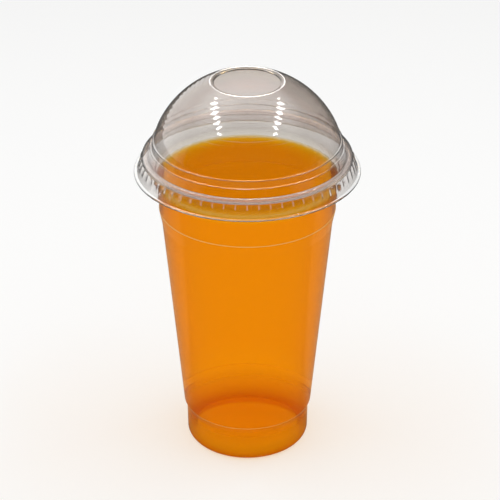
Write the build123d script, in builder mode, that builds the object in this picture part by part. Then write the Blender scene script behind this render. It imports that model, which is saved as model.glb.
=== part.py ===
"""Clear thermoformed drinks cup with a dome lid, filled with an orange drink.

Millimetres, +Z up, origin at the middle of the foot ring that the cup stands on.
Cup and lid are thin sheet: each section is an outer line and a parallel line one wall inside it.
"""

import math
import os

from build123d import *

# Sheet thickness and clearances
cup_wall = 0.40
lid_wall = 0.35
seat_gap = 0.25
drink_gap = 0.05

# Cup: foot and base band
base_diameter = 60.4
foot_rounding = 2.6
foot_ring_width = 2.2
floor_lift = 3.5
floor_slope_run = 1.6
band_height = 16.4
band_draft = 0.25

# Cup: stacking shoulder, wall and the fine ring below the mouth
shoulder_height = 3.2
shoulder_step = 1.35
ring_below_rim = 27.7
ring_step = 0.5
ring_run = 7.0

# Cup: mouth and rolled rim
cup_height = 154.8
rim_diameter = 98.0
rim_roll_radius = 1.4
mouth_inset = 5.4
mouth_height = 7.8

# Drink: how far its surface lies below the top of the rim
headspace = 11.4

# Lid: dome, given from the middle of the rim's roll upwards and from the bead inwards
dome_height = 37.5
dome_inset = 5.25
dome_side_radius = 29.7
dome_crown_degrees = 28.0
straw_hole_diameter = 30.6
straw_lip_width = 2.2

# Lid: the two stacking steps between dome and bead
upper_step_height = 8.6
upper_step_inset = 5.5
lower_step_height = 5.3
lower_step_inset = 3.9
step_ledge = 0.55

# Lid: bead over the rim, skirt and lip
bead_under_degrees = 20.0
skirt_height = 6.0
skirt_flare = 2.55
lip_width = 1.4
lip_drop = 0.25

# Lid: grip ribs between bead and skirt
rib_count = 60
rib_width = 1.1
rib_proud = 0.6
rib_below_bead = 0.4
rib_length = 4.0

# Places that follow from the sizes above
rim_radius = rim_diameter / 2
roll_centre_radius = rim_radius - rim_roll_radius
roll_centre_height = cup_height - rim_roll_radius
base_radius = base_diameter / 2
shoulder_top = band_height + shoulder_height
mouth_start = cup_height - mouth_height
wall_top_radius = rim_radius - mouth_inset
band_top_radius = base_radius + band_draft
wall_foot_radius = band_top_radius + shoulder_step
wall_slope = (wall_top_radius - wall_foot_radius - ring_step) / (mouth_start - shoulder_top)
ring_height = cup_height - ring_below_rim
drink_level = cup_height - headspace
bead_radius = rim_roll_radius + seat_gap + lid_wall
bead_outer_radius = roll_centre_radius + bead_radius


def wall_radius(height):
    """Outer radius of the cup's plain wall at a height below the ring."""
    return wall_foot_radius + wall_slope * (height - shoulder_top)


def on_circle(centre, radius, degrees):
    """Point on a circle, with the angle counted from the outward direction."""
    angle = math.radians(degrees)
    return (centre[0] + radius * math.cos(angle), centre[1] + radius * math.sin(angle))


def height_degrees(height, centre, radius):
    """Angle on a circle at which it reaches a height."""
    return math.degrees(math.asin((height - centre[1]) / radius))


def touch_degrees(point, centre, radius):
    """Angle on a circle where a straight line from a point touches it and then turns right."""
    away = math.atan2(point[1] - centre[1], point[0] - centre[0])
    reach = math.acos(radius / math.hypot(point[0] - centre[0], point[1] - centre[1]))
    return math.degrees(away - reach)


def parallel(points, distance):
    """Corners of the line that runs at a distance to the left of the line through points."""
    normals = []
    for start, end in zip(points, points[1:]):
        direction = (Vector(*end) - Vector(*start)).normalized()
        normals.append(Vector(-direction.Y, direction.X))
    normals = [normals[0], *normals, normals[-1]]
    moved = []
    for point, before, after in zip(points, normals, normals[1:]):
        shift = (before + after) * (distance / (1 + before.dot(after)))
        moved.append((point[0] + shift.X, point[1] + shift.Y))
    return moved


# Outer line of the cup's section, from the middle of its floor up to the flared mouth
foot_inner_radius = base_radius - foot_rounding - foot_ring_width
ring_foot = ring_height - ring_run
foot_corner = (base_radius, 0)
cup_points = [
    (0, floor_lift),
    (foot_inner_radius - floor_slope_run, floor_lift),
    (foot_inner_radius, 0),
    foot_corner,
    (band_top_radius, band_height),
    (wall_foot_radius, shoulder_top),
    (wall_radius(ring_foot), ring_foot),
    (wall_radius(ring_height) + ring_step, ring_height),
    (wall_top_radius, mouth_start),
]


def rounded_foot(points, radius):
    """Corner radii of a section line that is rounded at the foot and creased elsewhere."""
    radii = [0] * (len(points) - 2)
    radii[cup_points.index(foot_corner) - 1] = radius
    return radii


# The inside of the mouth runs on over the rolled rim, whose underside closes on the wall
roll_centre = (roll_centre_radius, roll_centre_height)
inner_points = parallel(cup_points, cup_wall)
roll_start = touch_degrees(inner_points[-1], roll_centre, rim_roll_radius)
roll_sweep = -((roll_start + 90) % 360)
inner_points.append(on_circle(roll_centre, rim_roll_radius, roll_start))
mouth_lean = (inner_points[-1][0] - inner_points[-2][0]) / (inner_points[-1][1] - inner_points[-2][1])
roll_underside = roll_centre_height - rim_roll_radius
underside_radius = wall_top_radius + mouth_lean * (roll_underside - mouth_start)
outer_points = [*cup_points, (underside_radius, roll_underside)]

with BuildPart() as cup:
    with BuildSketch(Plane.XZ):
        with BuildLine():
            outer_line = FilletPolyline(*outer_points, radius=rounded_foot(outer_points, foot_rounding))
            inner_line = FilletPolyline(*inner_points, radius=rounded_foot(inner_points, foot_rounding - cup_wall))
            roll = CenterArc(roll_centre, rim_roll_radius, roll_start, roll_sweep)
            Line(roll @ 1, outer_line @ 1)
            Line(outer_line @ 0, inner_line @ 0)
        make_face()
    revolve(axis=Axis.Z)
cup.part.label = "cup"

# The drink fills the cup up to its level
drink_wall = cup_wall + drink_gap
drink_points = parallel(cup_points, drink_wall)

with BuildPart() as drink:
    with BuildSketch(Plane.XZ):
        with BuildLine():
            side = FilletPolyline(*drink_points, radius=rounded_foot(drink_points, foot_rounding - drink_wall))
            Polyline(side @ 1, (0, mouth_start), side @ 0)
        make_face()
        with Locations((0, drink_level)):
            Rectangle(rim_diameter, cup_height, align=(Align.CENTER, Align.MIN), mode=Mode.SUBTRACT)
    revolve(axis=Axis.Z)
drink.part.label = "drink"

# The dome is a side arc that runs into a crown arc, centred on the axis, which ends at the flat straw lip
dome_top = roll_centre_height + dome_height
dome_radius = bead_outer_radius - dome_inset
hole_radius = straw_hole_diameter / 2
straw_lip_radius = hole_radius + straw_lip_width
side_centre_radius = dome_radius - dome_side_radius
crown_join = math.radians(dome_crown_degrees)
crown_radius = dome_side_radius + side_centre_radius / math.cos(crown_join)
crown_centre = (0, dome_top - math.sqrt(crown_radius**2 - straw_lip_radius**2))
side_centre = (side_centre_radius, crown_centre[1] + side_centre_radius * math.tan(crown_join))
crown_degrees = height_degrees(dome_top, crown_centre, crown_radius)
upper_step = roll_centre_height + upper_step_height
lower_step = roll_centre_height + lower_step_height
foot_degrees = height_degrees(upper_step, side_centre, dome_side_radius)
upper_step_radius = bead_outer_radius - upper_step_inset
lower_step_radius = bead_outer_radius - lower_step_inset

# The flange falls from the lower step and runs smoothly into the bead, which hooks under the rim
lower_step_point = (lower_step_radius, lower_step)
bead_start = touch_degrees(lower_step_point, roll_centre, bead_radius)
bead_end_point = on_circle(roll_centre, bead_radius, -bead_under_degrees)
skirt_foot = (bead_end_point[0] + skirt_flare, bead_end_point[1] - skirt_height)
lip_edge = (skirt_foot[0] + lip_width, skirt_foot[1] - lip_drop)

# A rib stands on the skirt's outer face: along runs down the skirt and out stands off it
skirt_run = math.hypot(skirt_flare, skirt_height)
along = (skirt_flare / skirt_run, -skirt_height / skirt_run)
out = (-along[1], along[0])


def on_skirt(down, off):
    """Point at a distance down the skirt's outer face and a distance off it."""
    radius = bead_end_point[0] + along[0] * down + out[0] * off
    height = bead_end_point[1] + along[1] * down + out[1] * off
    return (radius, height)


# The step line and the skirt line of the lid's section, outer faces and inner faces
step_points = [
    on_circle(side_centre, dome_side_radius, foot_degrees),
    (upper_step_radius, upper_step),
    (lower_step_radius - step_ledge, lower_step),
    lower_step_point,
    on_circle(roll_centre, bead_radius, bead_start),
]
skirt_points = [bead_end_point, skirt_foot, lip_edge]
under_side_radius = dome_side_radius - lid_wall
under_crown_radius = crown_radius - lid_wall
under_crown_degrees = height_degrees(dome_top - lid_wall, crown_centre, under_crown_radius)
under_foot_degrees = height_degrees(upper_step - lid_wall, side_centre, under_side_radius)
under_foot = on_circle(side_centre, under_side_radius, under_foot_degrees)
under_bead = on_circle(roll_centre, bead_radius - lid_wall, -bead_under_degrees)
under_step_points = [under_foot, *parallel(step_points, -lid_wall)[1:]]
under_skirt_points = [under_bead, *parallel(skirt_points, -lid_wall)]
bead_sweep = -bead_under_degrees - bead_start

with BuildPart() as lid:
    with BuildSketch(Plane.XZ):
        with BuildLine():
            top = Line((hole_radius, dome_top), on_circle(crown_centre, crown_radius, crown_degrees))
            CenterArc(crown_centre, crown_radius, crown_degrees, dome_crown_degrees - crown_degrees)
            CenterArc(side_centre, dome_side_radius, dome_crown_degrees, foot_degrees - dome_crown_degrees)
            Polyline(*step_points)
            CenterArc(roll_centre, bead_radius, bead_start, bead_sweep)
            Polyline(*skirt_points, under_skirt_points[-1])
            Polyline(*under_skirt_points)
            CenterArc(roll_centre, bead_radius - lid_wall, bead_start, bead_sweep)
            Polyline(*under_step_points)
            under_side_sweep = under_foot_degrees - dome_crown_degrees
            CenterArc(side_centre, under_side_radius, dome_crown_degrees, under_side_sweep)
            under_crown_sweep = dome_crown_degrees - under_crown_degrees
            CenterArc(crown_centre, under_crown_radius, under_crown_degrees, under_crown_sweep)
            Polyline(
                on_circle(crown_centre, under_crown_radius, under_crown_degrees),
                (hole_radius, dome_top - lid_wall),
                top @ 0,
            )
        make_face()
    revolve(axis=Axis.Z)
    with BuildSketch(Plane.XZ):
        with BuildLine():
            Polyline(
                on_skirt(rib_below_bead, -lid_wall / 2),
                on_skirt(rib_below_bead, rib_proud),
                on_skirt(rib_below_bead + rib_length, -lid_wall / 2),
                close=True,
            )
        make_face()
    rib = extrude(amount=rib_width / 2, both=True, mode=Mode.PRIVATE)
    with PolarLocations(0, rib_count):
        add(rib)
lid.part.label = "lid"

os.makedirs("parts", exist_ok=True)
export_step(cup.part, "parts/cup.step")
export_step(drink.part, "parts/drink.step")
export_step(lid.part, "parts/lid.step")
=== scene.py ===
"""Looks of a clear drinks cup with a dome lid, filled with an orange drink.

Sections are lines of (radius, height) points in millimetres, spun about +Z into meshes in metres.
"""

import math

import bmesh
import bpy
import numpy as np
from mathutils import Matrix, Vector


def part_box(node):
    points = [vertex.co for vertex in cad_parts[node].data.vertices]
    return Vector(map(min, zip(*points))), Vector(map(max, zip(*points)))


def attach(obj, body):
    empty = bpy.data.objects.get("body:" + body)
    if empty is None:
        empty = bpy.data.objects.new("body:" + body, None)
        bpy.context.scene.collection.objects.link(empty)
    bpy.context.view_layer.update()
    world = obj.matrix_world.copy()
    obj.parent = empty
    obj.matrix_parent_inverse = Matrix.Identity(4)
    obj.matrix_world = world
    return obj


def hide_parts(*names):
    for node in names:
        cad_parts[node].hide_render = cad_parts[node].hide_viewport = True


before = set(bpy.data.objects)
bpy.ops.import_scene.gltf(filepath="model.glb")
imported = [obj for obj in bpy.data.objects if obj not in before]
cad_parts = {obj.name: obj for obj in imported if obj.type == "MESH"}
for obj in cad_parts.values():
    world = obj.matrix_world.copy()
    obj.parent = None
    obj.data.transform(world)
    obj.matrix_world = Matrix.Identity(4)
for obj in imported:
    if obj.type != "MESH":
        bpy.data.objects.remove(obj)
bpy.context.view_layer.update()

MM = 0.001
WHITE = (1, 1, 1)

# How finely the meshes are divided, and how far past each rounding the straight runs are held true
arc_support = 0.12
azimuth_count = 192
corner_steps = 6
crease_steps = 5
cap_steps = 4
curl_steps = 30
surface_steps = 12
dome_side_steps = 10
bead_steps = 12
skirt_steps = 8
ripple_steps = 6

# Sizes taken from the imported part
cup_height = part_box("cup")[1][2] / MM
rim_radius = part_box("cup")[1][0] / MM
drink_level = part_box("drink")[1][2] / MM
dome_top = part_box("lid")[1][2] / MM
lip_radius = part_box("lid")[1][0] / MM

# Cup, from the foot upwards
cup_wall = 0.40
base_radius = 30.2
foot_rounding = 2.6
foot_ring_width = 2.2
foot_ring_radius = base_radius - foot_rounding - foot_ring_width
floor_lift = 3.5
floor_slope_run = 1.6
band_top = (30.45, 16.4)
shoulder_top = (31.8, 19.6)
ring_foot = (40.72, 120.1)
ring_top = (41.84, 127.1)
ring_ledge = [(42.12, 127.0), (41.85, 127.14)]
mouth_start = (43.6, 147.0)
rim_roll_radius = 1.4
roll_sweep = 290.0
roll_centre = (rim_radius - rim_roll_radius, cup_height - rim_roll_radius)
soft_crease = 1.6
cup_crease = 0.5
ring_crease = 0.07
finest_crease = 0.06

# Lid, from the straw hole downwards
lid_wall = 0.35
hole_radius = 15.3
straw_lip_radius = 17.5
straw_lip_flat = 0.5
straw_lip_dip = 0.6
straw_lip_crease = 0.15
crown_degrees = 28.0
ripple_count = 14
ripple_depth = 0.03
ripple_fade = 0.3
dome_side_radius = 29.7
dome_radius = 44.35
dome_end_degrees = 1.5
upper_step = (44.5, 162.0)
lower_step = (45.75, 158.7)
step_ledge = 0.8
step_crease = 0.08
bead_radius = 2.0
bead_end_degrees = -20.0
bead_fade_degrees = 8.0
bead_crease = 0.3
skirt_run = (2.55, -6.0)
lip_drop = 0.25
skirt_crease = 0.45

# Grip ribs on the lid's skirt; the shape is (degrees to the side, share of the height)
rib_count = 60
rib_proud = 0.6
rib_start = 0.4
rib_rise = 0.5
rib_length = 4.0
rib_shape = [(-1.1, 0), (-0.42, 1), (0.42, 1), (1.1, 0)]

# Drink: how its surface climbs at the wall, and over how many times that reach it is drawn finely
meniscus_rise = 0.4
meniscus_reach = 1.5
surface_reaches = 6

# Faint scuffs and waves on clear faces: scale and detail of their noise, and where its values lie
scuff_scale = 900
scuff_detail = 3
wave_detail = 2
noise_span = (0.3, 0.7)

# Clear sheet, with the tint of the light that it lets through
plastic_ior = 1.57
plastic_roughness = (0.0, 0.06)
plastic_wave_scale = 70
plastic_wave_height = 0.00003
plastic_film = (0.96, 0.96, 0.96)
full_gloss = 1
no_gloss = 0

# Cup sheet: tints by height; the dark warm stops up to 8 mm are painted shade under and around the cup's
# foot
cup_gloss = 0.4
cup_clear = (0.98, 0.98, 0.97)
cup_tint_blend = 1
cup_tints_and_foot_shade = [
    (0, (0.56, 0.36, 0.28)),
    (4, (0.76, 0.67, 0.6)),
    (8, (0.87, 0.83, 0.78)),
    (shoulder_top[1], (0.985, 0.985, 0.975)),
    (drink_level + cup_tint_blend, (0.96, 0.95, 0.9)),
    (mouth_start[1], (0.8, 0.78, 0.75)),
    (roll_centre[1] - cup_tint_blend, (0.95, 0.94, 0.94)),
]

# Lid sheet: one tint below the stacking steps and one above them
dome_grey = (0.72, 0.68, 0.65)
lid_rim_grey = (0.78, 0.75, 0.73)
lid_tint_below = 4
lid_tint_above = 2
lid_tints = [(lower_step[1] - lid_tint_below, lid_rim_grey), (upper_step[1] + lid_tint_above, dome_grey)]

# Parts of the sheet that look different: milky edges and ribs, creases with a painted golden glint, and
# the wetted floor, whose tint is painted shade
milky_white = (0.97, 0.9, 0.87)
rim_clearness = 0.78
rib_clearness = 0.8
# The creases' gold is a painted glint, in place of the drink's light that the ledges bend.
crease_glint_gold = (1, 0.74, 0.25)
crease_gloss = 0.1
crease_clearness = 0.5
crease_reach = 0.12
# The floor's lower index stands for the drink that wets it; its tint is painted shade, darkening what
# shows through the floor.
floor_shade_tint = (0.8, 0.96, 0.78)
wet_ior = 1.1
wet_reach = 0.1

# Drink, with the tint of the light that it lets through
drink_ior = 1.04
drink_roughness = (0.0, 0.02)
drink_wave_scale = 40
drink_wave_height = 0.00002
drink_film = (1, 0.82, 0.62)

# Drink: hazier towards its foot, from one height to another
haze_heights = (4, 20)
haze_clearness = (0.45, 0.9)

# Drink: how pale it is, from 0 to 1: along the edge of its surface, where it is thin and a reflection of
# the pale back wall is painted, and above its foot, where light is painted
thin_width = 13.0
thin_depth = 5.0
edge_thin_and_glare = 0.8
meniscus_width = 1.2
wall_film = 0.25
wall_thinness = 0.2
foot_heights = (4, 34)
foot_painted_light = 0.26
foot_start_heights = (1, 5)

# Drink: colours from dense to pale, for thin drink and for painted reflection and light
dense_orange = (1, 0.31, 0.001)
drink_tones = [
    (0, dense_orange),
    (0.4, (1, 0.43, 0.003)),
    (0.62, (1, 0.55, 0.02)),
    (0.8, (1, 0.76, 0.32)),
    (1, (1, 0.96, 0.78)),
]

# Floor, in metres; in reflections it is dim, but for a warm glow over part of the reach behind the cup
floor_size = 6
floor_pale = (0.975, 0.975, 0.97)
floor_dim = (0.1, 0.1, 0.1)
floor_glow = (0.5, 0.36, 0.2)
glow_reach = 0.28
glow_shares = (0.06, 0.6)

# Studio by the direction looked in: across from left to right, deep towards the back, and up
walls_level = 0.93
backdrop_white = (0.95, 0.95, 0.94)
sides_across = (-0.3, 0.3)
sides_levels = (1.2, 0.12)
sides_deep = (-0.2, 0.4)
ceiling_up = (0.55, 0.8)
ceiling_level = 1.38
ceiling_deep = (-0.4, 0.1)
panel_deep = (0.7, 0.8)
panel_level = 5
panel_half_width = 0.045
panel_up = 0.48
panel_half_height = 0.1
panel_gold = (1, 0.7, 0.25)
gold_up = (0.42, 0.45)

# Strip lights, in metres, degrees and watts
strip_width = 0.065
strip_length = 0.88
strip_place = (0.53, 0.06, 1.05)
strip_tilt = 30
strip_power = 2.2

# Camera, in millimetres of lens and sensor, metres and degrees
camera_lens = 127.14
camera_sensor = 36
camera_place = (0.00125, -0.7448, 0.5169)
camera_tilt = 60.897

# Light crosses many clear faces on its way through lid, cup and drink
clear_bounces = 32
glossy_bounces = 8


def on_circle(centre, radius, degrees):
    """Point on a circle, with the angle counted from the outward direction."""
    angle = math.radians(degrees)
    return (centre[0] + radius * math.cos(angle), centre[1] + radius * math.sin(angle))


def arc(centre, radius, start, end, steps):
    """Points along an arc from one angle to another."""
    return [on_circle(centre, radius, start + (end - start) * i / steps) for i in range(steps + 1)]


def between(start, end, steps):
    """Evenly spaced points on a straight run."""
    return [start + (end - start) * i / steps for i in range(steps + 1)]


def touch_degrees(point, centre, radius):
    """Angle on a circle where a straight line from a point touches it and then turns right."""
    away = math.atan2(point[1] - centre[1], point[0] - centre[0])
    reach = math.acos(radius / math.hypot(point[0] - centre[0], point[1] - centre[1]))
    return math.degrees(away - reach)


def unit(vector):
    """The vector at length 1."""
    return vector / np.linalg.norm(vector)


def normals(line):
    """Unit normals to the left of a line, from the run of its neighbours."""
    run = np.gradient(np.array(line), axis=0)
    run /= np.linalg.norm(run, axis=1)[:, None]
    return np.column_stack([-run[:, 1], run[:, 0]])


def rounded(corners, steps=corner_steps):
    """Line through (radius, height, rounding) corners, with an arc of each corner's rounding.

    A point just outside each arc keeps the straight runs beside it true.
    """
    line = [np.array(corners[0][:2], float)]
    for before, corner, after in zip(corners, corners[1:], corners[2:]):
        point = np.array(corner[:2], float)
        back = unit(np.array(before[:2]) - point)
        ahead = unit(np.array(after[:2]) - point)
        half = math.acos(back @ ahead) / 2
        middle = unit(back + ahead)
        side = unit(back - middle * (back @ middle))
        centre = point + middle * corner[2] / math.sin(half)
        reach = corner[2] * (1 / math.tan(half) + arc_support)
        line.append(point + back * reach)
        for i in range(steps + 1):
            angle = (math.pi / 2 - half) * (1 - 2 * i / steps)
            line.append(centre + corner[2] * (side * math.sin(angle) - middle * math.cos(angle)))
        line.append(point + ahead * reach)
    line.append(np.array(corners[-1][:2], float))
    return line


def parallel(corners, distance):
    """The corners of the line at a distance to the left, with roundings about the same centres."""
    points = np.array([corner[:2] for corner in corners], float)
    runs = np.array([unit(run) for run in np.diff(points, axis=0)])
    left = np.column_stack([-runs[:, 1], runs[:, 0]])
    before = np.vstack([left[:1], left])
    after = np.vstack([left, left[-1:]])
    shift = (before + after) * (distance / (1 + np.sum(before * after, axis=1)))[:, None]
    turn = np.sign(before[:, 0] * after[:, 1] - before[:, 1] * after[:, 0])
    rounding = np.maximum([corner[2] for corner in corners] - turn * distance, finest_crease)
    return np.column_stack([points + shift, rounding])


def edge_cap(line, other):
    """Round cut edge from the end of one face of a sheet to the start of the other face."""
    middle = (np.array(line[-1]) + np.array(other[0])) / 2
    across = np.array(line[-1]) - middle
    ahead = np.array(line[-1]) - np.array(line[-2])
    ahead *= np.linalg.norm(across) / np.linalg.norm(ahead)
    turns = [math.pi * i / cap_steps for i in range(1, cap_steps)]
    return [middle + across * math.cos(turn) + ahead * math.sin(turn) for turn in turns]


def even_azimuths(count):
    """Evenly spaced azimuths."""
    return [360 * i / count for i in range(count)]


def spin(name, section, azimuths, closed, push=0.0, ridges=()):
    """Smooth object spun from a section; where it isn't closed its ends lie on the axis.

    push adds to the radius and height of each section point at each azimuth; ridges are the rows
    of the section whose edges stay sharp.
    """
    section = np.array(section)
    turns = np.radians(azimuths)
    count = len(turns)
    rows = len(section)
    placed = section[:, None, :] + push + np.zeros((rows, count, 2))
    radius = placed[..., 0]
    spun = np.stack([radius * np.cos(turns), radius * np.sin(turns), placed[..., 1]], axis=-1) * MM
    mesh = bmesh.new()
    rings = []
    for row, ring in enumerate(spun):
        at_pole = not closed and row in (0, rows - 1)
        rings.append([mesh.verts.new(point) for point in (ring[:1] if at_pole else ring)])
    follow = list(zip(rings, rings[1:]))
    if closed:
        follow.append((rings[-1], rings[0]))
    for low, high in follow:
        for k in range(count):
            n = (k + 1) % count
            corners = [low[k % len(low)], low[n % len(low)], high[n % len(high)], high[k % len(high)]]
            mesh.faces.new(list(dict.fromkeys(corners)))
    for row in ridges:
        for k in range(count):
            mesh.edges.get((rings[row][k], rings[row][(k + 1) % count])).smooth = False
    bmesh.ops.recalc_face_normals(mesh, faces=mesh.faces)
    data = bpy.data.meshes.new(name)
    mesh.to_mesh(data)
    mesh.free()
    data.shade_smooth()
    thing = bpy.data.objects.new(name, data)
    bpy.context.collection.objects.link(thing)
    return thing


def cup_corners(ring):
    """Corners of the cup's outer face, from the middle of its floor up to the mouth."""
    return [
        (0, floor_lift, 0),
        (foot_ring_radius - floor_slope_run, floor_lift, cup_crease),
        (foot_ring_radius, 0, cup_crease),
        (base_radius, 0, foot_rounding),
        (*band_top, cup_crease),
        (*shoulder_top, cup_crease),
        (*ring_foot, soft_crease),
        *((*point, ring_crease) for point in ring),
        (*mouth_start, soft_crease),
    ]


def cup_face(corners, radius, start):
    """One face of the cup's sheet: through the corners and then round the rim's curl."""
    wall = rounded([*corners, (*on_circle(roll_centre, radius, start), 0)])
    return [*wall[:-1], *arc(roll_centre, radius, start, start - roll_sweep, curl_steps)]


def cup_section():
    """The cup's sheet, whose rim curls outwards and under itself; its outer face has a fine ledge."""
    inner_corners = parallel(cup_corners([ring_top]), cup_wall)
    start = touch_degrees(inner_corners[-1][:2], roll_centre, rim_roll_radius)
    outer = cup_face(cup_corners(ring_ledge), rim_roll_radius - cup_wall, start)
    inner = cup_face(inner_corners, rim_roll_radius, start)[::-1]
    return [*outer, *edge_cap(outer, inner), *inner]


def drink_section():
    """The drink, which reaches into the middle of the cup's wall; its surface climbs a little there."""
    wall = rounded(parallel(cup_corners([ring_top]), cup_wall / 2))
    side = [point for point in wall if point[1] < drink_level]
    after = wall[len(side)]
    share = (drink_level - side[-1][1]) / (after[1] - side[-1][1])
    edge = side[-1] + (after - side[-1]) * share
    surface = []
    for i in range(surface_steps + 1):
        inward = surface_reaches * meniscus_reach * (i / surface_steps) ** 2
        climb = meniscus_rise * (math.exp(-inward / meniscus_reach) - 1)
        surface.append((edge[0] - inward, drink_level + climb))
    surface.append((0, surface[-1][1]))
    return [*side, *surface]


def rippled(line):
    """The crown's line with fine hollow rings pressed into it, which get shallower downwards."""
    steps = np.arange(len(line))
    across = (steps % ripple_steps) / ripple_steps
    depth = ripple_depth * (1 - ripple_fade * steps / steps[-1]) * 4 * across * (1 - across)
    return np.array(line) - normals(line) * depth[:, None]


def skirt_ends():
    """Where the skirt leaves the bead and where it meets the lip."""
    bead_end = on_circle(roll_centre, bead_radius, bead_end_degrees)
    return bead_end, (bead_end[0] + skirt_run[0], bead_end[1] + skirt_run[1])


def lid_line(inset):
    """One face of the lid's sheet, from the straw hole to the lip, and the rows of its ring ridges."""
    side_centre_radius = dome_radius - dome_side_radius
    turn = math.radians(crown_degrees)
    crown_radius = dome_side_radius + side_centre_radius / math.cos(turn)
    crown_centre = (0, dome_top - math.sqrt(crown_radius**2 - straw_lip_radius**2))
    side_centre = (side_centre_radius, crown_centre[1] + side_centre_radius * math.tan(turn))
    top_degrees = math.degrees(math.asin((dome_top - crown_centre[1]) / crown_radius))
    foot_degrees = math.degrees(math.asin((upper_step[1] - side_centre[1]) / dome_side_radius))
    crown_span = (top_degrees - dome_end_degrees, crown_degrees)
    side_span = (crown_degrees, foot_degrees + dome_end_degrees)
    crown = rippled(arc(crown_centre, crown_radius - inset, *crown_span, ripple_count * ripple_steps))
    side = arc(side_centre, dome_side_radius - inset, *side_span, dome_side_steps)
    top_corners = [
        (hole_radius + lid_wall / 2, dome_top - straw_lip_dip, 0),
        (straw_lip_radius - straw_lip_flat, dome_top, straw_lip_crease),
        (straw_lip_radius, dome_top, straw_lip_crease),
        (*on_circle(crown_centre, crown_radius, crown_span[0]), 0),
    ]
    bead_start = touch_degrees(lower_step, roll_centre, bead_radius)
    bead_stop = bead_end_degrees + bead_fade_degrees
    bead = arc(roll_centre, bead_radius - inset, bead_start, bead_stop, bead_steps)
    step_corners = [
        (*on_circle(side_centre, dome_side_radius, side_span[1]), 0),
        (*on_circle(side_centre, dome_side_radius, foot_degrees), step_crease),
        (*upper_step, step_crease),
        (lower_step[0] - step_ledge, lower_step[1], step_crease),
        (*lower_step, step_crease),
        (*on_circle(roll_centre, bead_radius, bead_start), 0),
    ]
    bead_end, skirt_foot = skirt_ends()
    skirt_corners = [
        (*on_circle(roll_centre, bead_radius, bead_stop), 0),
        (*bead_end, bead_crease),
        (*skirt_foot, skirt_crease),
        (lip_radius - lid_wall / 2, skirt_foot[1] - lip_drop, 0),
    ]
    top, steps, skirt = (
        rounded(parallel(corners, -inset), crease_steps)
        for corners in (top_corners, step_corners, skirt_corners)
    )
    middle = len(skirt) // 2
    skirt[middle - 1 : middle + 1] = between(skirt[middle - 1], skirt[middle], skirt_steps)
    line = [*top[:-1], *crown, *side[1:], *steps[1:-1], *bead, *skirt[1:]]
    return line, range(len(top) - 1, len(top) - 1 + len(crown), ripple_steps)


def make_lid():
    """The lid's sheet, spun with its grip ribs pressed out of the skirt."""
    outer, outer_ridges = lid_line(0)
    inner, inner_ridges = lid_line(lid_wall)
    inner = inner[::-1]
    lip = edge_cap(outer, inner)
    section = np.array([*outer, *lip, *inner, *edge_cap(inner, outer)])
    last = len(outer) + len(lip) + len(inner) - 1
    ridges = [*outer_ridges, *(last - row for row in inner_ridges)]
    start, end = (np.array(point) for point in skirt_ends())
    along = unit(end - start)
    out = np.array([-along[1], along[0]])
    down = (section - start) @ along
    rib_places = [rib_start, rib_start + rib_rise, rib_start + rib_length]
    height = np.interp(down, rib_places, [0, rib_proud, 0])
    across = np.tile([level for _, level in rib_shape], rib_count)
    push = height[:, None, None] * across[None, :, None] * out
    pitch = 360 / rib_count
    azimuths = [pitch * rib + offset for rib in range(rib_count) for offset, _ in rib_shape]
    return spin("lid_shell", section, azimuths, True, push, ridges)


def new_material(name):
    """An empty node material with its output."""
    material = bpy.data.materials.new(name)
    material.use_nodes = True
    material.node_tree.nodes.clear()
    return material, material.node_tree.nodes.new("ShaderNodeOutputMaterial")


def object_axes(tree):
    """The X, Y and Z of a place on the piece, in metres."""
    place = tree.nodes.new("ShaderNodeTexCoord")
    axes = tree.nodes.new("ShaderNodeSeparateXYZ")
    tree.links.new(place.outputs["Object"], axes.inputs[0])
    return axes.outputs


def ramp(tree, value, start, end, low, high):
    """A level that goes from low to high while the value goes from start to end."""
    ranged = tree.nodes.new("ShaderNodeMapRange")
    ranged.inputs["From Min"].default_value = start
    ranged.inputs["From Max"].default_value = end
    ranged.inputs["To Min"].default_value = low
    ranged.inputs["To Max"].default_value = high
    tree.links.new(value, ranged.inputs["Value"])
    return ranged.outputs["Result"]


def height_ramp(tree, axes, heights, low, high):
    """A level that goes from low to high between two heights on the piece, in millimetres."""
    return ramp(tree, axes["Z"], heights[0] * MM, heights[1] * MM, low, high)


def combine(tree, operation, first, second):
    """A level put together by an operation with another level or with a number."""
    node = tree.nodes.new("ShaderNodeMath")
    node.operation = operation
    tree.links.new(first, node.inputs[0])
    if isinstance(second, float):
        node.inputs[1].default_value = second
    else:
        tree.links.new(second, node.inputs[1])
    return node.outputs[0]


def near(tree, value, middle, reach):
    """1 where a value lies within reach of the middle, and 0 elsewhere."""
    node = tree.nodes.new("ShaderNodeMath")
    node.operation = "COMPARE"
    tree.links.new(value, node.inputs[0])
    node.inputs[1].default_value = middle
    node.inputs[2].default_value = reach
    return node.outputs[0]


def tones(tree, value, stops):
    """A colour that runs through (value, colour) stops."""
    node = tree.nodes.new("ShaderNodeValToRGB")
    while len(node.color_ramp.elements) < len(stops):
        node.color_ramp.elements.new(1)
    for element, (position, colour) in zip(node.color_ramp.elements, stops):
        element.position = position
        element.color = (*colour, 1)
    tree.links.new(value, node.inputs["Fac"])
    return node.outputs["Color"]


def by_ray(tree, surface, seen):
    """The surface, with another one in its place for each kind of ray that is named."""
    path = tree.nodes.new("ShaderNodeLightPath")
    for ray, other in seen.items():
        mix = tree.nodes.new("ShaderNodeMixShader")
        tree.links.new(path.outputs[ray], mix.inputs["Fac"])
        tree.links.new(surface, mix.inputs[1])
        tree.links.new(other, mix.inputs[2])
        surface = mix.outputs[0]
    return surface


def noise(tree, scale, detail):
    """Noise in object space, as a value from 0 to 1."""
    place = tree.nodes.new("ShaderNodeTexCoord")
    texture = tree.nodes.new("ShaderNodeTexNoise")
    texture.inputs["Scale"].default_value = scale
    texture.inputs["Detail"].default_value = detail
    tree.links.new(place.outputs["Object"], texture.inputs["Vector"])
    return texture.outputs["Fac"]


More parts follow.
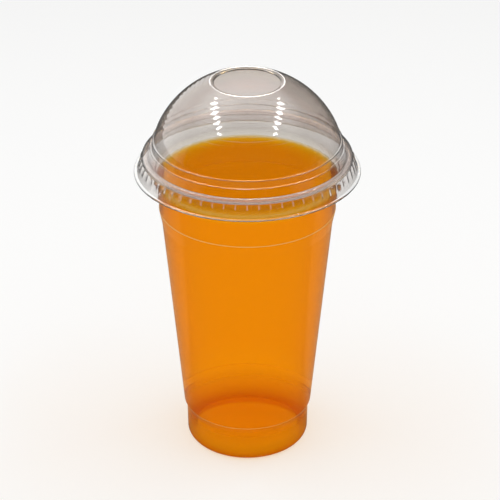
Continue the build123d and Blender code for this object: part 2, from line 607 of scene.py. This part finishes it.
def clear_shader(tree, colour, ior, gloss, roughness, wave_scale, wave_height):
    """Clear glossy shader with faint scuffs and a slightly wavy face."""
    shader = tree.nodes.new("ShaderNodeBsdfPrincipled")
    shader.inputs["Base Color"].default_value = (*colour, 1)
    shader.inputs["Transmission Weight"].default_value = 1
    shader.inputs["IOR"].default_value = ior
    shader.inputs["Specular Tint"].default_value = (gloss, gloss, gloss, 1)
    scuffs = ramp(tree, noise(tree, scuff_scale, scuff_detail), *noise_span, *roughness)
    tree.links.new(scuffs, shader.inputs["Roughness"])
    bump = tree.nodes.new("ShaderNodeBump")
    bump.inputs["Distance"].default_value = wave_height
    tree.links.new(noise(tree, wave_scale, wave_detail), bump.inputs["Height"])
    tree.links.new(bump.outputs["Normal"], shader.inputs["Normal"])
    return shader


def let_light_through(tree, shader, tint):
    """The shader, with a tinted clear film in its place for light on its way to other surfaces."""
    film = tree.nodes.new("ShaderNodeBsdfTransparent")
    film.inputs["Color"].default_value = (*tint, 1)
    seen = {ray: film.outputs[0] for ray in ("Is Shadow Ray", "Is Diffuse Ray")}
    return by_ray(tree, shader.outputs[0], seen)


def clear_plastic(name, colour, gloss, ior=plastic_ior):
    """Clear thermoformed sheet."""
    material, output = new_material(name)
    tree = material.node_tree
    wave = (plastic_wave_scale, plastic_wave_height)
    shader = clear_shader(tree, colour, ior, gloss, plastic_roughness, *wave)
    tree.links.new(let_light_through(tree, shader, plastic_film), output.inputs["Surface"])
    return material


def tinted_plastic(name, colour, gloss, stops):
    """Clear sheet that is coloured by the height in millimetres on the piece."""
    material = clear_plastic(name, colour, gloss)
    tree = material.node_tree
    low, high = stops[0][0], stops[-1][0]
    share = height_ramp(tree, object_axes(tree), (low, high), 0, 1)
    shares = [((height - low) / (high - low), tint) for height, tint in stops]
    tree.links.new(tones(tree, share, shares), tree.nodes["Principled BSDF"].inputs["Base Color"])
    return material


def milky_plastic(name, colour, gloss, clearness):
    """The sheet's creases, its rolled edge and its ribs, which are a little milky."""
    material = clear_plastic(name, colour, gloss)
    material.node_tree.nodes["Principled BSDF"].inputs["Transmission Weight"].default_value = clearness
    return material


def orange_drink():
    """Clear orange drink, hazier in its foot; paler along the edge of its surface, where it is thin and
    a reflection is painted, and above its foot, where light is painted.
    """
    material, output = new_material("orange_drink")
    tree = material.node_tree
    wave = (drink_wave_scale, drink_wave_height)
    shader = clear_shader(tree, dense_orange, drink_ior, no_gloss, drink_roughness, *wave)
    axes = object_axes(tree)
    clearness = height_ramp(tree, axes, haze_heights, *haze_clearness)
    tree.links.new(clearness, shader.inputs["Transmission Weight"])
    squares = [combine(tree, "MULTIPLY", axes[axis], axes[axis]) for axis in "XY"]
    radius = combine(tree, "POWER", combine(tree, "ADD", *squares), 0.5)
    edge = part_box("drink")[1][0]
    rim = edge - meniscus_width * MM
    # Paler near the edge of the surface: thin drink, and a painted reflection of the pale back wall.
    near_edge = ramp(tree, radius, edge - thin_width * MM, rim, 0, edge_thin_and_glare)
    at_wall = ramp(tree, radius, rim, rim + wall_film * MM, 0, wall_thinness)
    near_top = height_ramp(tree, axes, (drink_level - thin_depth, drink_level), 0, 1)
    # Paler above the foot: painted light for the hazy foot, which gets little light.
    foot_end = height_ramp(tree, axes, foot_heights, foot_painted_light, 0)
    foot_start = height_ramp(tree, axes, foot_start_heights, 0, 1)
    near_foot = combine(tree, "MULTIPLY", foot_end, foot_start)
    near_wall = combine(tree, "ADD", near_edge, at_wall)
    paleness = combine(tree, "MAXIMUM", combine(tree, "MULTIPLY", near_wall, near_top), near_foot)
    tree.links.new(tones(tree, paleness, drink_tones), shader.inputs["Base Color"])
    tree.links.new(let_light_through(tree, shader, drink_film), output.inputs["Surface"])
    return material


def is_roll(radius, height):
    """True on the cup's rolled rim."""
    return math.dist((radius, height), roll_centre) < rim_roll_radius + cup_wall


def is_floor(radius, height):
    """True on the cup's raised floor, which the drink wets."""
    return radius < foot_ring_radius and height < floor_lift + cup_wall + wet_reach


def is_crease(radius, height):
    """True on the ledge of the cup's ring and on its shoulder's upper edge."""
    ring_middle = (ring_ledge[0][1] + ring_ledge[1][1]) / 2
    return min(abs(height - ring_middle), abs(height - shoulder_top[1])) < crease_reach


def is_ledge(radius, height):
    """True on the lid's two stacking ledges and its lip."""
    on_ledge = min(abs(height - upper_step[1]), abs(height - lower_step[1])) < lid_wall
    return on_ledge or height < skirt_ends()[1][1] + lid_wall / 2


def is_rib(radius, height):
    """True where a rib stands well off the lid's skirt."""
    (top_radius, top), (foot_radius, foot) = skirt_ends()
    skirt_radius = top_radius + (foot_radius - top_radius) * (top - height) / (top - foot)
    return foot < height < top and radius - skirt_radius > rib_proud / 2


def place(piece, body, node, slot, material):
    """Dresses a piece, which stands for a node and rides on a body."""
    piece.data.materials.append(material)
    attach(piece, body)
    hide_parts(node)


def trim(piece, material, chosen):
    """Gives a piece's faces one more material where a rule on their radius and height holds."""
    piece.data.materials.append(material)
    for face in piece.data.polygons:
        across, deep, height = face.center / MM
        if chosen(math.hypot(across, deep), height):
            face.material_index = len(piece.data.materials) - 1


def make_floor():
    """Wide pale floor; in reflections it is dimmer, but for the part just behind the cup."""
    bpy.ops.mesh.primitive_plane_add(size=floor_size)
    floor = bpy.context.object
    floor.name = "floor"
    material, output = new_material("pale_floor")
    tree = material.node_tree
    pale, dim = (tree.nodes.new("ShaderNodeBsdfDiffuse") for _ in range(2))
    pale.inputs["Color"].default_value = (*floor_pale, 1)
    share = ramp(tree, object_axes(tree)["Y"], 0, glow_reach, 0, 1)
    glow = [(position, floor_glow) for position in glow_shares]
    tree.links.new(tones(tree, share, [(0, floor_dim), *glow, (1, floor_dim)]), dim.inputs["Color"])
    surface = by_ray(tree, pale.outputs[0], {"Glossy Depth": dim.outputs[0]})
    tree.links.new(surface, output.inputs["Surface"])
    floor.data.materials.append(material)


def make_world():
    """White studio walls; reflections show a ceiling, a bright warm panel behind and a dark front."""
    world = bpy.data.worlds.new("studio")
    bpy.context.scene.world = world
    world.use_nodes = True
    tree = world.node_tree
    tree.nodes.clear()
    output = tree.nodes.new("ShaderNodeOutputWorld")
    direction = tree.nodes.new("ShaderNodeTexCoord")
    axes = tree.nodes.new("ShaderNodeSeparateXYZ")
    tree.links.new(direction.outputs["Generated"], axes.inputs[0])
    across, deep, up = (axes.outputs[axis] for axis in "XYZ")
    walls, mirrored, backdrop = (tree.nodes.new("ShaderNodeBackground") for _ in range(3))
    walls.inputs["Strength"].default_value = walls_level
    sides = ramp(tree, across, *sides_across, *sides_levels)
    sides_end = ramp(tree, deep, *sides_deep, 0, 1)
    ceiling = ramp(tree, up, *ceiling_up, 0, ceiling_level)
    ceiling_end = ramp(tree, deep, *ceiling_deep, 0, 1)
    panel = ramp(tree, deep, *panel_deep, 0, panel_level)
    panel_sides = near(tree, across, 0, panel_half_width)
    panel_end = combine(tree, "MULTIPLY", panel_sides, near(tree, up, panel_up, panel_half_height))
    level = combine(tree, "MULTIPLY", sides, sides_end)
    for more, end in ((ceiling, ceiling_end), (panel, panel_end)):
        level = combine(tree, "ADD", level, combine(tree, "MULTIPLY", more, end))
    tree.links.new(level, mirrored.inputs["Strength"])
    golden = combine(tree, "MULTIPLY", panel_end, ramp(tree, up, *gold_up, 0, 1))
    warmth = tones(tree, golden, [(0, WHITE), (1, panel_gold)])
    tree.links.new(warmth, mirrored.inputs["Color"])
    backdrop.inputs["Color"].default_value = (*backdrop_white, 1)
    seen = {
        "Is Transmission Ray": backdrop.outputs[0],
        "Is Camera Ray": backdrop.outputs[0],
        "Glossy Depth": mirrored.outputs[0],
    }
    tree.links.new(by_ray(tree, walls.outputs[0], seen), output.inputs["Surface"])


def make_strip_light(side):
    """Long soft light overhead, to one side of the cup, which runs towards the camera."""
    data = bpy.data.lights.new("strip_light", "AREA")
    data.shape = "RECTANGLE"
    data.size = strip_width
    data.size_y = strip_length
    data.energy = strip_power
    light = bpy.data.objects.new("strip_light", data)
    light.location = (strip_place[0] * side, *strip_place[1:])
    light.rotation_euler = (0, math.radians(strip_tilt) * side, 0)
    bpy.context.collection.objects.link(light)


def make_camera():
    """Camera at the photograph's viewing angle."""
    data = bpy.data.cameras.new("camera")
    data.lens = camera_lens
    data.sensor_width = camera_sensor
    camera = bpy.data.objects.new("camera", data)
    camera.location = camera_place
    camera.rotation_euler = (math.radians(camera_tilt), 0, 0)
    bpy.context.collection.objects.link(camera)
    bpy.context.scene.camera = camera


cup = spin("cup_shell", cup_section(), even_azimuths(azimuth_count), False)
drink = spin("drink_body", drink_section(), even_azimuths(azimuth_count), False)
lid = make_lid()
# The cup's tints darken towards its foot: painted shade under the cup.
cup_plastic = tinted_plastic("cup_plastic", cup_clear, cup_gloss, cup_tints_and_foot_shade)
place(cup, "cup", "cup", "clear_plastic", cup_plastic)
trim(cup, milky_plastic("rim_plastic", milky_white, full_gloss, rim_clearness), is_roll)
# The ring's ledge and the shoulder's edge get a painted golden glint.
trim(cup, milky_plastic("crease_painted_glint", crease_glint_gold, crease_gloss, crease_clearness), is_crease)
# The wetted floor, with a tint of painted shade.
trim(cup, clear_plastic("wet_floor_painted_shade", floor_shade_tint, no_gloss, wet_ior), is_floor)
place(drink, "cup", "drink", "orange_drink", orange_drink())
lid_plastic = tinted_plastic("lid_plastic", dome_grey, full_gloss, lid_tints)
place(lid, "lid", "lid", "clear_plastic", lid_plastic)
trim(lid, clear_plastic("ledge_plastic", WHITE, full_gloss), is_ledge)
trim(lid, milky_plastic("rib_plastic", milky_white, full_gloss, rib_clearness), is_rib)

make_floor()
make_world()
for side in (-1, 1):
    make_strip_light(side)
make_camera()

scene = bpy.context.scene
scene.view_settings.view_transform = "Standard"
scene.cycles.max_bounces = clear_bounces
scene.cycles.transmission_bounces = clear_bounces
scene.cycles.transparent_max_bounces = clear_bounces
scene.cycles.glossy_bounces = glossy_bounces
scene.cycles.caustics_reflective = False
scene.cycles.caustics_refractive = False
